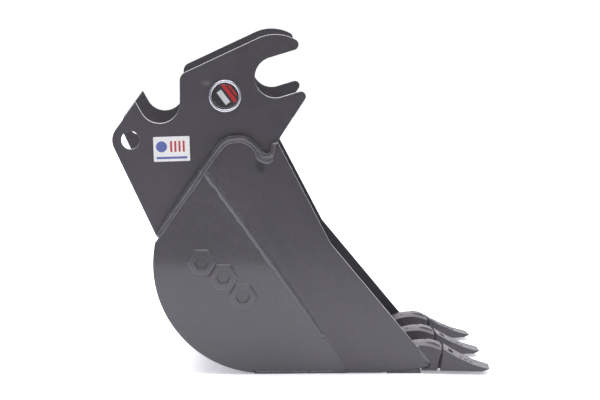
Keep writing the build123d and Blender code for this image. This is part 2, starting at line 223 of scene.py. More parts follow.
def paint(name, level, rough=0.45, shine=0.3, shine_rough=0.14, peel=0.4, cast=0.0, up_dust_and_sheen=0.35,
          scuffs=(), dark_patches=()):
    """Dark grey enamel: orange peel, cloudy variation, dust and a painted sky reflection lightening what
    faces up, edges rubbed paler.
    """
    material, tree, shader = new_material(name, Coat_Weight=shine, Coat_Roughness=shine_rough)
    place = place_of(tree)
    clouds = noise_of(tree, place, CLOUD_SCALE, 4.0, 0.55)
    mottle = noise_of(tree, place, MOTTLE_SCALE, 6.0, 0.6)
    speck = noise_of(tree, place, SPECK_SCALE, 2.0, 0.5)
    tone = mix(tree, ramp(tree, clouds, 0.35, 0.65), grey(level * 0.88, level * 0.2, level * 0.1),
               grey(level * 1.1, level * 0.25, level * 0.13))
    tone = mix(tree, ramp(tree, mottle, 0.45, 0.75, 0.0, 0.35), tone, grey(level * 1.5, level * 0.12))
    tone = mix(tree, ramp(tree, speck, 0.62, 0.75, 0.0, 0.25), tone, grey(level * 2.2))

    # What faces up is painted lighter: partly dust, partly a painted sky reflection standing in for the
    # bright light from above.
    geometry = add(tree, "ShaderNodeNewGeometry", {}).outputs
    facing_up = split(tree, geometry["Normal"])["Z"]
    dust_and_sheen = maths(tree, "MULTIPLY", ramp(tree, facing_up, 0.3, 1.0, 0.0, up_dust_and_sheen),
                 ramp(tree, mottle, 0.3, 0.7, 0.5, 1.0))
    tone = mix(tree, dust_and_sheen, tone, DUST_AND_SKY_SHEEN_TONE)
    rubbed = maths(tree, "MULTIPLY", ramp(tree, geometry["Pointiness"], *RUBBED_EDGE, 0.0, 0.5),
                   ramp(tree, noise_of(tree, place, RUB_SCALE, 4.0), 0.35, 0.7))
    tone = mix(tree, rubbed, tone, RUBBED_TONE)
    gloss = maths(tree, "ADD", ramp(tree, mottle, 0.3, 0.7, rough - 0.05, rough + 0.08),
                  ramp(tree, speck, 0.4, 0.7, 0.0, 0.06))
    gloss = maths(tree, "ADD", gloss, maths(tree, "MULTIPLY", dust_and_sheen, 0.3))

    for centre, reach in scuffs:
        scratches = ramp(tree, noise_of(tree, place, SCUFF_SCALE, 5.0, 0.6), 0.36, 0.60)
        torn = maths(tree, "MULTIPLY", spot(tree, place, centre, reach), scratches)
        tone = mix(tree, maths(tree, "MULTIPLY", torn, 0.3), tone, SCUFF_TONE)
        gloss = maths(tree, "ADD", gloss, maths(tree, "MULTIPLY", torn, 0.2))
    # Near-black patches darken the paint inside each given oval.
    for centre, reach in dark_patches:
        patch = maths(tree, "MULTIPLY", spot(tree, place, centre, reach),
                      ramp(tree, mottle, 0.3, 0.6, 0.4, 0.75))
        tone = mix(tree, patch, tone, DARK_PATCH_TONE)

    normal = bump(tree, noise_of(tree, place, PEEL_SCALE, 2.0), 0.0004, peel)
    normal = bump(tree, noise_of(tree, place, WAVE_SCALE, 2.0), 0.0012, WAVE_STRENGTH, normal)
    if cast:
        normal = bump(tree, noise_of(tree, place, CAST_SCALE, 4.0, 0.65), 0.0008, cast, normal)
    finish_surface(tree, shader, tone, gloss, normal)
    return material


def chrome(name):
    """Plated rim, slightly hazy."""
    material, tree, shader = new_material(name, Metallic=1.0)
    place = place_of(tree)
    haze = noise_of(tree, place, 220.0, 4.0, 0.6)
    tone = mix(tree, ramp(tree, haze, 0.4, 0.8), grey(0.62, 0.07), grey(0.52, 0.07))
    finish_surface(tree, shader, tone, ramp(tree, haze, 0.3, 0.8, 0.24, 0.36),
                   bump(tree, noise_of(tree, place, 700.0, 2.0), 0.0001, 0.05))
    return material


# The badge's print, in metres from its centre, across its slant and along it.
BADGE_SLANT = (0.8, 0.6)       # cosine and sine
BADGE_BANDS = ((0.0105, 0.0042), (0.0195, 0.0022))   # middle and half width of each
BADGE_BAR_MIDDLE = -0.004
BADGE_BAR_HALF = (0.0058, 0.016)
BADGE_RIM = 0.0238             # radius at which the dark rim begins
BADGE_EDGE = 0.0006            # softness of a printed edge
BADGE_RED = (0.42, 0.012, 0.018, 1.0)


def enamel(name):
    """Badge picture: slanting red bands on black with a light grey bar, behind clear resin."""
    material, tree, shader = new_material(name, Coat_Weight=0.9, Coat_Roughness=0.06)
    place = place_of(tree)
    local = away_from(tree, place, BADGE_CENTRE)
    parts = split(tree, local)
    x, z = parts["X"], parts["Z"]
    cosine, sine = BADGE_SLANT
    across = maths(tree, "ADD", maths(tree, "MULTIPLY", x, cosine), maths(tree, "MULTIPLY", z, sine))
    along = maths(tree, "SUBTRACT", maths(tree, "MULTIPLY", z, cosine), maths(tree, "MULTIPLY", x, sine))
    away = vector_maths(tree, "LENGTH", vector_maths(tree, "MULTIPLY", local, (1, 0, 1)))

    def within(value, half):
        return ramp(tree, maths(tree, "ABSOLUTE", value), half, half - BADGE_EDGE)

    tone = mix(tree, ramp(tree, noise_of(tree, place, 90.0), 0.3, 0.7), grey(0.012), grey(0.03, 0.005))
    for middle, half in BADGE_BANDS:
        tone = mix(tree, within(maths(tree, "SUBTRACT", across, middle), half), tone, BADGE_RED)
    bar_across, bar_along = BADGE_BAR_HALF
    bar_area = maths(tree, "MULTIPLY", within(along, bar_along),
                     within(maths(tree, "SUBTRACT", across, BADGE_BAR_MIDDLE), bar_across))
    tone = mix(tree, bar_area, tone, grey(0.55, 0.01))
    tone = mix(tree, ramp(tree, away, BADGE_RIM, BADGE_RIM + BADGE_EDGE), tone, grey(0.02))
    finish_surface(tree, shader, tone, ramp(tree, noise_of(tree, place, 500.0, 3.0), 0.3, 0.7, 0.22, 0.34),
                   bump(tree, noise_of(tree, place, 260.0), 0.0002, 0.15))
    return material


# The label's print, in metres from its centre.
LABEL_EDGE = 0.0004            # softness of a printed edge
LABEL_DISC = ((-0.0205, 0.005), 0.0115)             # centre and radius
LABEL_BARS = (-0.003, 0.0055, 0.014, 0.0225)        # left edge of each
LABEL_BAR_WIDTH = 0.0045
LABEL_BAR_ENDS = (-0.0065, 0.0165)
LABEL_LINE = (-0.0315, 0.0315, -0.0205, -0.0155)    # left, right, low, high
LABEL_RED = (0.46, 0.04, 0.055, 1.0)
LABEL_BLUE = (0.10, 0.13, 0.36, 1.0)


def vinyl(name):
    """Sticker: white, with a blue disc, a row of upright red bars and a plain blue line, slightly scuffed."""
    material, tree, shader = new_material(name, Coat_Weight=0.3, Coat_Roughness=0.2)
    place = place_of(tree)
    turned = add(tree, "ShaderNodeVectorRotate", {
        "Vector": away_from(tree, place, LABEL_CENTRE), "Angle": math.radians(LABEL_TILT),
    }, rotation_type="Y_AXIS").outputs["Vector"]
    parts = split(tree, turned)
    x, z = parts["X"], parts["Z"]

    def between(value, low, high):
        return maths(tree, "MULTIPLY", ramp(tree, value, low, low + LABEL_EDGE),
                     ramp(tree, value, high, high - LABEL_EDGE))

    def block(left, right, low, high):
        return maths(tree, "MULTIPLY", between(x, left, right), between(z, low, high))

    def disc(centre, radius):
        squares = [maths(tree, "POWER", maths(tree, "SUBTRACT", value, middle), 2.0)
                   for value, middle in zip((x, z), centre)]
        away = maths(tree, "SQRT", maths(tree, "ADD", *squares))
        return ramp(tree, away, radius, radius - LABEL_EDGE)

    worn = noise_of(tree, place, 300.0, 5.0, 0.6)
    tone = mix(tree, ramp(tree, worn, 0.4, 0.75), grey(0.78), grey(0.62, 0.0, 0.02))
    tone = mix(tree, disc(*LABEL_DISC), tone, LABEL_BLUE)
    for bar_left in LABEL_BARS:
        tone = mix(tree, block(bar_left, bar_left + LABEL_BAR_WIDTH, *LABEL_BAR_ENDS), tone, LABEL_RED)
    tone = mix(tree, block(*LABEL_LINE), tone, LABEL_BLUE)
    finish_surface(tree, shader, tone, ramp(tree, worn, 0.3, 0.7, 0.35, 0.5),
                   bump(tree, noise_of(tree, place, 180.0), 0.0003, 0.15))
    return material


def rubber(name):
    """Matt black, with a fine grain."""
    material, tree, shader = new_material(name)
    grain = noise_of(tree, place_of(tree), 1200.0, 4.0, 0.7)
    finish_surface(tree, shader, mix(tree, grain, grey(0.012), grey(0.035)),
                   ramp(tree, grain, 0.3, 0.7, 0.65, 0.85), bump(tree, grain, 0.0003, 0.4))
    return material


DRAWN_STRETCH = (1.0, 1.0, 0.04)   # draws the noise out into lines along Z
PIN_STAIN = (0.09, 0.055, 0.035, 1.0)


def pin_metal(name):
    """Spring pin: dark drawn steel with fine lines down its length."""
    material, tree, shader = new_material(name, Metallic=0.8)
    place = place_of(tree)
    drawn = add(tree, "ShaderNodeMapping", {"Vector": place, "Scale": DRAWN_STRETCH}).outputs["Vector"]
    lines = noise_of(tree, drawn, 1600.0, 3.0, 0.6)
    stain = noise_of(tree, place, 120.0, 4.0, 0.6)
    tone = mix(tree, lines, grey(0.10), grey(0.2))
    tone = mix(tree, ramp(tree, stain, 0.5, 0.75, 0.0, 0.6), tone, PIN_STAIN)
    finish_surface(tree, shader, tone, ramp(tree, stain, 0.3, 0.7, 0.35, 0.6),
                   bump(tree, lines, 0.0002, 0.3))
    return material


FLOOR_GLOW = (0.95, 0.94, 1.0, 1.0)


def floor_material(name):
    """Pale studio floor, a little lit from within so that it ends up white."""
    material, tree, shader = new_material(name, Roughness=0.6, Emission_Color=FLOOR_GLOW,
                                          Emission_Strength=0.33)
    place = place_of(tree)
    tone = mix(tree, noise_of(tree, place, 3.0), grey(0.89, 0.06), grey(0.91, 0.06))
    tree.links.new(tone, shader.inputs["Base Color"])
    tree.links.new(bump(tree, noise_of(tree, place, 60.0), 0.0003, 0.1), shader.inputs["Normal"])
    return material


# Patches on the right side: the centre of each, then its reach along X and along Z.
EAR_SCUFFS = (((-202.0, -142.5, 609.0), (13.0, 8.0)),)
# Two overlapping near-black patches just below the valley pass on the right side cutter.
VALLEY_DARK_PATCHES = (((-94.0, -152.5, 441.0), (12.0, 15.0)), ((-89.0, -152.5, 434.0), (8.0, 10.0)))
# Each material's up-facing amount sets how much dust and painted sky reflection its upper faces get.
plate_paint = paint("plate_enamel", 0.035, shine=0.7, shine_rough=0.09)
cutter_paint = paint("cutter_enamel", 0.037, shine=0.4, shine_rough=0.2, dark_patches=VALLEY_DARK_PATCHES)
ear_paint = paint("ear_enamel", 0.042, shine=0.35, up_dust_and_sheen=0.0, scuffs=EAR_SCUFFS)
wear_paint = paint("wear_plate_enamel", 0.04, rough=0.5, cast=0.15)
# The beads' enamel is the plates' enamel with a lighter tone and almost full up-facing lightening: a painted
# highlight on the welds.
weld_paint_painted_highlight = paint("weld_enamel_painted_highlight", 0.06, rough=0.36, shine=0.5, peel=0.3, cast=0.2, up_dust_and_sheen=0.9)
adapter_paint = paint("cast_adapter_enamel", 0.048, rough=0.55, shine=0.0, cast=0.45, up_dust_and_sheen=0.03)
tooth_paint = paint("cast_tooth_enamel", 0.055, rough=0.55, shine=0.0, cast=0.5, up_dust_and_sheen=0.07)
bezel_chrome = chrome("badge_chrome")
badge_enamel = enamel("badge_enamel")
label_vinyl = vinyl("label_vinyl")
pin_steel = pin_metal("pin_steel")
core_rubber = rubber("pin_rubber")


# ---------------------------------------------------------------- piece helpers
def set_material(obj, material):
    obj.data.materials.clear()
    obj.data.materials.append(material)


def smooth(obj):
    obj.data.polygons.foreach_set("use_smooth", [True] * len(obj.data.polygons))


def link_object(name, data):
    """A new object, put into the scene."""
    obj = bpy.data.objects.new(name, data)
    bpy.context.scene.collection.objects.link(obj)
    return obj


def take_in(obj, material, body="bucket", replaces=()):
    """Gives a finished mesh its material and its place in the frame."""
    set_material(obj, material)
    smooth(obj)
    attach(obj, body)
    if replaces:
        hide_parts(*replaces)
    return obj


def mesh_object(name, points, faces):
    """A closed mesh from points in millimetres, its faces turned outward."""
    mesh = bpy.data.meshes.new(name)
    mesh.from_pydata([Vector(p) * MM for p in points], [], faces)
    shape = bmesh.new()
    shape.from_mesh(mesh)
    bmesh.ops.recalc_face_normals(shape, faces=shape.faces)
    shape.to_mesh(mesh)
    shape.free()
    return link_object(name, mesh)


def tube(name, rings):
    """A closed mesh through rings of points, capped at both ends."""
    size = len(rings[0])
    points = [p for ring in rings for p in ring]
    faces = []
    for row in range(len(rings) - 1):
        for i in range(size):
            j = (i + 1) % size
            faces.append((row * size + i, row * size + j, (row + 1) * size + j, (row + 1) * size + i))
    last = (len(rings) - 1) * size
    faces.append(tuple(range(size)))
    faces.append(tuple(range(last, last + size)))
    return mesh_object(name, points, faces)


def modify(obj, name, kind, **settings):
    """Adds a modifier with its settings."""
    modifier = obj.modifiers.new(name, kind)
    for key, value in settings.items():
        setattr(modifier, key, value)


JOIN_DISTANCE = 0.02           # vertices nearer than this are one
FLAT_ANGLE = 0.5               # degrees
BEVELLED_ANGLE = 30            # edges sharper than this are rounded


def bevel_node(node_name, material, width=1.0):
    """Keeps a CAD piece as it is, and rounds its edges as cut and painted plate is rounded."""
    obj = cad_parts[node_name]
    set_material(obj, material)
    smooth(obj)
    modify(obj, "join", "WELD", merge_threshold=JOIN_DISTANCE * MM)
    modify(obj, "flat", "DECIMATE", decimate_type="DISSOLVE", angle_limit=math.radians(FLAT_ANGLE))
    modify(obj, "edge", "BEVEL", width=width * MM, segments=3, limit_method="ANGLE",
           angle_limit=math.radians(BEVELLED_ANGLE), use_clamp_overlap=True)
    modify(obj, "even", "WEIGHTED_NORMAL", weight=80)


# ---------------------------------------------------------------- paths
def polar(centre, radius, angle):
    """The point at an angle in degrees on a circle in the X-Z plane."""
    turn = math.radians(angle)
    return (centre[0] + radius * math.cos(turn), centre[1] + radius * math.sin(turn))


def run_points(start, end, step):
    """Points along a straight run in the X-Z plane."""
    count = max(2, round(math.dist(start, end) / step))
    return [(start[0] + (end[0] - start[0]) * i / count, start[1] + (end[1] - start[1]) * i / count)
            for i in range(count + 1)]


def arc_points(centre, radius, start, end, step):
    """Points along an arc in the X-Z plane, its angles in degrees."""
    count = max(2, round(abs(math.radians(end - start)) * radius / step))
    return [polar(centre, radius, start + (end - start) * i / count) for i in range(count + 1)]


def chain(*stretches):
    """Joins stretches of points end to end, without their shared points."""
    points = list(stretches[0])
    for stretch in stretches[1:]:
        points += stretch[1:]
    return points


VALLEY_CENTRE = polar(HUMP_CENTRE, HUMP_RADIUS + VALLEY_RADIUS, VALLEY_ANGLE)
VALLEY_START = -10


def border_points(step):
    """Upper edge of a side plate, from the mouth to the rear, as the ear weld follows it."""
    away = math.dist(BORDER_FOOT, HUMP_CENTRE)
    bearing = math.degrees(math.atan2(BORDER_FOOT[1] - HUMP_CENTRE[1], BORDER_FOOT[0] - HUMP_CENTRE[0]))
    hump_end = (bearing - 90 + math.degrees(math.asin(HUMP_RADIUS / away))) % 360
    return chain(
        run_points(MOUTH_TOP, polar(VALLEY_CENTRE, VALLEY_RADIUS, VALLEY_START), step),
        arc_points(VALLEY_CENTRE, VALLEY_RADIUS, VALLEY_START, VALLEY_ANGLE - 180, step),
        arc_points(HUMP_CENTRE, HUMP_RADIUS, VALLEY_ANGLE, hump_end, step),
        run_points(polar(HUMP_CENTRE, HUMP_RADIUS, hump_end), BORDER_FOOT, step),
    )


def at_y(points, y):
    """Points of the X-Z plane moved out to a distance across the bucket."""
    return [Vector((x, y, z)) for x, z in points]


# ---------------------------------------------------------------- weld beads
RIPPLE_PITCH = 4.2             # from one ripple to the next
RIPPLE_BOW = 0.55              # how far a ripple bows forward in its middle, in pitches
PROFILE_COUNT = 10             # steps across a bead's face
BUTT_ROOT = 1.0                # depth of a bead's root below the plates
FILLET_ROOT = 0.8
BUTT_TOE_SINK = 0.4            # depth of a bead's edges below the plates
TOE_SINK = 0.5
END_SIZE = 0.02                # square of the size a bead starts with, as a share
SEED_SPREAD = 7.31             # keeps the wandering of different seeds apart

# How a bead strays: over which length of run, and by how much.
WIDTH_DRIFT = (17.0, 0.30)
WIDTH_TREMOR = (5.0, 0.10)
HEIGHT_DRIFT = (14.0, 0.12)
BEAT_DRIFT = (17.0, 0.5)
SKIN_GRAIN = (6.0, 0.25)
SWAY_LENGTH = 9.0


def stray(s, amounts, seed):
    """A smooth wandering value along a run, up to the second of the amounts either way."""
    length, amount = amounts
    return amount * noise.noise(Vector((s / length, seed * SEED_SPREAD, 0.5)))


def weld(name, points, lift, side, legs, seed, butt=False, ripple=0.45, fade=6.0, crown=0.24, swell=None,
         groove=0.0, sway=0.0):
    """A hand-run bead along a root line. lift is one leg's direction, the other is side * (run x lift).

    A fillet has its two legs in those directions; a butt bead spreads both ways along the second.
    fade is the length over which each end grows to full size. ripple and crown set the ripples' and
    the face's height. groove parts a fillet's face into two passes with a valley between them.
    sway is how far the run strays sideways. swell gives the width's factor at a point.
    """
    rings = []
    total = sum((b - a).length for a, b in zip(points, points[1:]))
    s = 0.0
    for i, point in enumerate(points):
        if i:
            s += (point - points[i - 1]).length
        ahead = points[min(i + 1, len(points) - 1)] - points[max(i - 1, 0)]
        run = ahead.normalized()
        up = lift.normalized()
        out = (run.cross(up) * side).normalized()
        near_end = min(s, total - s)
        point = point + out * stray(s, (SWAY_LENGTH, sway), seed + 5)
        grow = math.sqrt(max(END_SIZE, 1 - max(0.0, 1 - near_end / fade) ** 2))
        wide = legs[0] * grow * (1 + stray(s, WIDTH_DRIFT, seed) + stray(s, WIDTH_TREMOR, seed + 1))
        wide *= swell(point) if swell else 1.0
        tall = legs[1] * grow * (1 + stray(s, HEIGHT_DRIFT, seed + 2))
        ring = []
        for k in range(PROFILE_COUNT + 1):
            t = k / PROFILE_COUNT
            arch = math.sin(math.pi * t)
            beat = s / RIPPLE_PITCH + stray(s, BEAT_DRIFT, seed + 3) + RIPPLE_BOW * arch
            scale = abs(math.sin(math.pi * beat))
            skin = ripple * grow * arch ** 0.7 * (scale - 0.6) + stray(s, SKIN_GRAIN, seed + 4 + t)
            if butt:
                offset = out * (wide * (2 * t - 1)) + up * (tall * arch ** 0.75 + skin * arch)
                ring.append(point + offset + up * (-BUTT_TOE_SINK * (1 - arch)))
            else:
                chord = out * (wide * (1 - t)) + up * (tall * t)
                passes = arch * (1 - groove * math.cos(4 * math.pi * (t - 0.5)))
                swelling = crown * min(wide, tall) * 2 * passes + skin * arch
                bulge = (out * tall + up * wide).normalized() * swelling
                ring.append(point + chord + bulge - out * (TOE_SINK * t) - up * (TOE_SINK * (1 - t)))
        if butt:
            ring.append(point - up * BUTT_ROOT)
        else:
            ring.append(point - up * FILLET_ROOT - out * FILLET_ROOT)
        rings.append(ring)
    return tube(name, rings)


def straight(start, end, step):
    """Points along a straight run in space."""
    count = max(2, round((end - start).length / step))
    return [start.lerp(end, i / count) for i in range(count + 1)]


def rounded_path(corners, radius, step):
    """Straight runs through corner points, each inner corner eased by a short curve."""
    points = [corners[0]]
    for before, corner, after in zip(corners, corners[1:], corners[2:]):
        start = corner + (before - corner).normalized() * radius
        end = corner + (after - corner).normalized() * radius
        points += straight(points[-1], start, step)[1:]
        count = max(3, round(1.6 * radius / step))
        for i in range(1, count + 1):
            t = i / count
            points.append(start * (1 - t) ** 2 + corner * (2 * t * (1 - t)) + end * t ** 2)
    return points + straight(points[-1], corners[-1], step)[1:]


def painted_bead(name, points, lift, side, legs, seed, replaces=(), **shape):
    """A bead in its paint, on the bucket."""
    bead = weld(name, points, lift, side, legs, seed, **shape)
    return take_in(bead, weld_paint_painted_highlight, replaces=replaces)


OUTLINE_STEP = 0.7             # distances between a bead's rings
FINE_STEP = 0.8
SEAM_STEP = 0.9
STEP = 1.0
COARSE_STEP = 1.2

REAR_PASS_END = (-98.0, 452.0) # X limit of the rear pass past the hump, and its lowest Z there
FRONT_PASS_START = -106.0
PASS_OVERLAP = 12              # first rings of the rear pass, which the front pass shares
VALLEY_PASS_ANGLES = (190, 312)
VALLEY_PASS_OUT = 1.5


def ear_welds(side, name):
    """The show weld of each side: two fillets that meet at the valley, a bead along the side plate's
    edge, and a flat pass across the valley's foot."""
    outward = Vector((0, side, 0))
    border = border_points(FINE_STEP)
    end_x, end_z = REAR_PASS_END
    rear_pass = [p for p in border if p[0] < HUMP_CENTRE[0] or (p[0] < end_x and p[1] > end_z)]
    front_pass = [p for p in border if p[0] > FRONT_PASS_START and p not in rear_pass[PASS_OVERLAP:]]
    rear_pass += run_points(BORDER_FOOT, EAR_WELD_END, FINE_STEP)[1:]
    painted_bead(name + "_ear_fillet_bead", at_y(rear_pass, side * SIDE_INNER), outward, -side, (8.6, 8.6),
                 seed=3 + side, replaces=[name + "_ear_weld"], swell=hump_swell, groove=0.45, crown=0.4)
    painted_bead(name + "_ear_front_bead", at_y(front_pass, side * SIDE_INNER), outward, -side, (13.0, 8.8),
                 seed=7 + side, groove=0.45, crown=0.34, fade=11.0)
    painted_bead(name + "_ear_edge_bead", at_y(rear_pass, side * SIDE_OUTER), outward, side, (2.8, 1.5),
                 seed=13 + side, butt=True, ripple=0.4, sway=1.6)
    lap = arc_points(VALLEY_CENTRE, VALLEY_RADIUS + VALLEY_PASS_OUT, *VALLEY_PASS_ANGLES, FINE_STEP)
    painted_bead(name + "_valley_pass", at_y(lap, side * SIDE_OUTER), outward, side, (5.8, 1.4),
                 seed=9 + side, butt=True, ripple=0.15, fade=14.0)


HUMP_SWELL = 0.3               # extra width over the hump, as a share
HUMP_SWELL_REACH = 45.0
HUMP_SWELL_SHIFT = 4
REAR_WIDTH = 0.62              # width at the rear end, as a share
REAR_TAPER = 30.0


def hump_swell(point):
    """The ear weld is widest over the top of the hump, and narrows at its rear end."""
    over = max(0.0, 1 - abs(point.x - HUMP_CENTRE[0] - HUMP_SWELL_SHIFT) / HUMP_SWELL_REACH)
    rear = min(1.0, max(0.0, (point.x - EAR_WELD_END[0]) / REAR_TAPER))
    return (REAR_WIDTH + (1 - REAR_WIDTH) * rear) * (1.0 + HUMP_SWELL * over)


def seam_welds(side, name):
    """The bead over the diagonal seam, bowed forward a little, and its ground-down lower end."""
    outward = Vector((0, side, 0))
    direction = (Vector(SEAM_WELD_FOOT) - Vector(SEAM_TOP)).normalized()
    start = tuple(Vector(SEAM_TOP) + direction * 1.0)
    seam_run = at_y(run_points(start, SEAM_WELD_FOOT, SEAM_STEP), side * SIDE_OUTER)
    for i, point in enumerate(seam_run):
        point.x += SEAM_BOW * math.sin(math.pi * i / (len(seam_run) - 1))
    painted_bead(name + "_seam_butt_bead", seam_run, outward, side, (7.2, 2.3), seed=11 + side, butt=True,
                 ripple=0.3, fade=7.0, replaces=[name + "_seam_weld"])
    ground_run = at_y(run_points(SEAM_WELD_FOOT, SEAM_FOOT, SEAM_STEP), side * SIDE_OUTER)
    painted_bead(name + "_seam_ground_run", ground_run, outward, side, (2.6, 0.3), seed=17 + side,
                 butt=True, ripple=0.05, fade=4.0)


HEEL_BEAD_ANGLES = (167, 262)
INSIDE_BEAD_ANGLES = (170, 270)
INSIDE_BEAD_SHORT = 22.0       # how far short of the lip's edge the inside bead stops
LAP_SKIPPED = 4                # first points of the ear's lap, which have no bead
BACK_BEAD_SHORT = 4.0          # how far short of the upper back plate's end its bead stops
TOP_BEAD_REAR = 16.0           # how far inside the top plate's ends its beads run
TOP_BEAD_FRONT = 6.0
TOP_CROSS_BEAD_REAR = 8.0
NOSE_BEAD_SPAN = (0.825, 0.97) # shares of the mouth's lower edge
LIP_BEAD_EXTRA = 4             # how much further out the lip's bead reaches at each end
STRIP_BEAD_REAR = 6.0          # how far inside a wear strip's ends its beads run
STRIP_BEAD_FRONT = 3.0


def shell_welds(side, name):
    """Corner beads between the shell and one side, outside along the heel and inside all round."""
    outward = Vector((0, side, 0))
    heel = at_y(arc_points(HEEL_CENTRE, WRAPPER_RADIUS, *HEEL_BEAD_ANGLES, STEP), side * SIDE_INNER)
    painted_bead(name + "_heel_outside_bead", heel, -outward, side, (5.2, 6.0), seed=21 + side)
    floor_run = ((HEEL_CENTRE[0], FLOOR_TOP), (LIP_FRONT - INSIDE_BEAD_SHORT, FLOOR_TOP))
    inside = chain(arc_points(HEEL_CENTRE, WRAPPER_INNER_RADIUS, *INSIDE_BEAD_ANGLES, COARSE_STEP),
                   run_points(*floor_run, COARSE_STEP))
    painted_bead(name + "_inside_bead", at_y(inside, side * SIDE_INNER), -outward, -side, (6.5, 6.5),
                 seed=31 + side)
    lap = at_y(run_points(EAR_LAP_REAR, EAR_LAP_FRONT, COARSE_STEP)[LAP_SKIPPED:], side * SIDE_INNER)
    painted_bead(name + "_ear_lap_bead", lap, -outward, side, (7.0, 8.0), seed=41 + side)
    bend = polar(HEEL_CENTRE, WRAPPER_RADIUS, TOP_BEND_ANGLE)
    back_top = polar(bend, TOP_BEND_RUN - BACK_BEAD_SHORT, TOP_BEND_ANGLE - 90)
    back = chain(arc_points(HEEL_CENTRE, WRAPPER_RADIUS, WRAPPER_END_ANGLE, TOP_BEND_ANGLE, STEP),
                 run_points(bend, back_top, STEP))
    painted_bead(name + "_back_ear_bead", at_y(back, side * EAR_INNER), -outward, -side, (7.0, 7.0),
                 seed=51 + side)
    low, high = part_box("top_plate")
    top = straight(Vector((low.x / MM + TOP_BEAD_REAR, side * EAR_INNER, high.z / MM)),
                   Vector((high.x / MM - TOP_BEAD_FRONT, side * EAR_INNER, high.z / MM)), STEP)
    painted_bead(name + "_top_plate_bead", top, UP, -side, (7.0, 7.0), seed=61 + side)
    start, end = [tuple(Vector(MOUTH_KNEE).lerp(Vector(MOUTH_NOSE), share)) for share in NOSE_BEAD_SPAN]
    nose = at_y(run_points(start, end, FINE_STEP), side * (SIDE_OUTER - 0.5))
    painted_bead(name + "_nose_bead", nose, outward, side, (7.0, 4.4), seed=65 + side, butt=True,
                 ripple=0.35, fade=12.0)


def cross_welds():
    """Beads that run across the bucket: over the back, behind the top plate and at the lip."""
    reach = EAR_INNER - 1.0

    def crossing(x, z, half=reach):
        return straight(Vector((x, -half, z)), Vector((x, half, z)), STEP)

    x, z = polar(HEEL_CENTRE, WRAPPER_RADIUS, WRAPPER_END_ANGLE)
    radial = Vector((x - HEEL_CENTRE[0], 0, z - HEEL_CENTRE[1])).normalized()
    painted_bead("back_joint_bead", crossing(x, z), radial, 1, (6.5, 2.2), seed=71, butt=True, ripple=0.5)
    low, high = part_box("top_plate")
    along_x, along_z = polar((0, 0), 1, TOP_BEND_ANGLE - 90)
    top_rear = crossing(low.x / MM + TOP_CROSS_BEAD_REAR, high.z / MM)
    painted_bead("top_plate_rear_bead", top_rear, Vector((along_x, 0, along_z)), 1, (8.0, 8.0), seed=73)
    lip = crossing(LIP_REAR, FLOOR_TOP, reach + LIP_BEAD_EXTRA)
    painted_bead("lip_joint_bead", lip, UP, 1, (6.0, 1.8), seed=75, butt=True)


def mark_outlines():
    """A thin bead round the foot of each raised mark, on the right side plate."""
    for number in MARKS:
        low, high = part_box("relief_mark_" + str(number))
        centre = (low + high) / 2 / MM
        radius = (high.x - low.x) / 2 / MM - 0.5
        ring = at_y([polar((centre.x, centre.z), radius, 60 * i) for i in range(6)], -SIDE_OUTER)
        start = ring[0].lerp(ring[1], 0.5)
        corners = [start] + ring[1:] + [ring[0], start]
        painted_bead("mark_" + str(number) + "_outline_bead", rounded_path(corners, 3.0, OUTLINE_STEP),
                     Vector((0, -1, 0)), 1, (3.4, 2.6), seed=101 + number, ripple=0.3)


def strip_welds():
    """Beads along both long edges of each wear strip, under the shell."""
    centre = SIDE_OUTER - STRIP_INSET - STRIP_WIDTH / 2
    for place, name in THREE_SIDES:
        for edge, edge_name in SIDES:
            y = place * centre + edge * STRIP_WIDTH / 2
            leg = 2.6 if abs(y) > SIDE_INNER else 5.0
            line = straight(Vector((STRIP_REAR + STRIP_BEAD_REAR, y, STRIP_THICKNESS)),
                            Vector((LIP_REAR - STRIP_BEAD_FRONT, y, STRIP_THICKNESS)), COARSE_STEP)
            painted_bead(name + "_strip_" + edge_name + "_bead", line, -UP, -edge, (leg, 5.0),
                         seed=81 + place * 3 + edge)


def tooth_matrix(side):
    """Where a tooth set stands: the corner ones turn outward about the tooth pivot."""
    turn = Matrix.Rotation(math.radians(side * TOOTH_SPLAY), 4, "Z")
    return (Matrix.Translation((TOOTH_PIVOT, side * TOOTH_SPACING, 0)) @ turn
            @ Matrix.Translation((-TOOTH_PIVOT, 0, 0)))


FOOT_END = (228.0, 24.4)       # where an adapter's foot bead ends, forward and half across
FOOT_END_AT_CUTTER = (199.0, 19.8)


def adapter_weld(side, name):
    """Bead round the foot of an adapter, on the lip. It stops early where it meets a side cutter."""
    ends = {sign: FOOT_END_AT_CUTTER if side == sign else FOOT_END for sign in (RIGHT, LEFT)}
    foot = [ends[LEFT], (ADAPTER_REAR, ADAPTER_REAR_HALF), (ADAPTER_REAR, -ADAPTER_REAR_HALF),
            (ends[RIGHT][0], -ends[RIGHT][1])]
    corners = [tooth_matrix(side) @ Vector((x, y, FLOOR_TOP)) for x, y in foot]
    painted_bead(name + "_adapter_foot_bead", rounded_path(corners, 7.0, STEP), UP, -1, (7.0, 7.5),
                 seed=91 + side)


for side, name in SIDES:
    ear_welds(side, name)
    seam_welds(side, name)
    shell_welds(side, name)
cross_welds()
strip_welds()
mark_outlines()
for side, name in THREE_SIDES:
    adapter_weld(side, name)


# ---------------------------------------------------------------- plates, kept from the CAD
for side, name in SIDES:
    bevel_node(name + "_side_plate", plate_paint, width=1.2)
    bevel_node(name + "_side_cutter", cutter_paint, width=1.6)
    bevel_node(name + "_ear_plate", ear_paint)
for node_name in ("back_wrapper", "upper_back_plate", "top_plate"):
    bevel_node(node_name, plate_paint)
bevel_node("cutting_lip", wear_paint, width=1.5)
for side, name in THREE_SIDES:
    bevel_node(name + "_wear_strip", wear_paint, width=1.2)
for number in MARKS:
    bevel_node("relief_mark_" + str(number), plate_paint, width=1.2)
bevel_node("label_plate", label_vinyl, width=0.2)


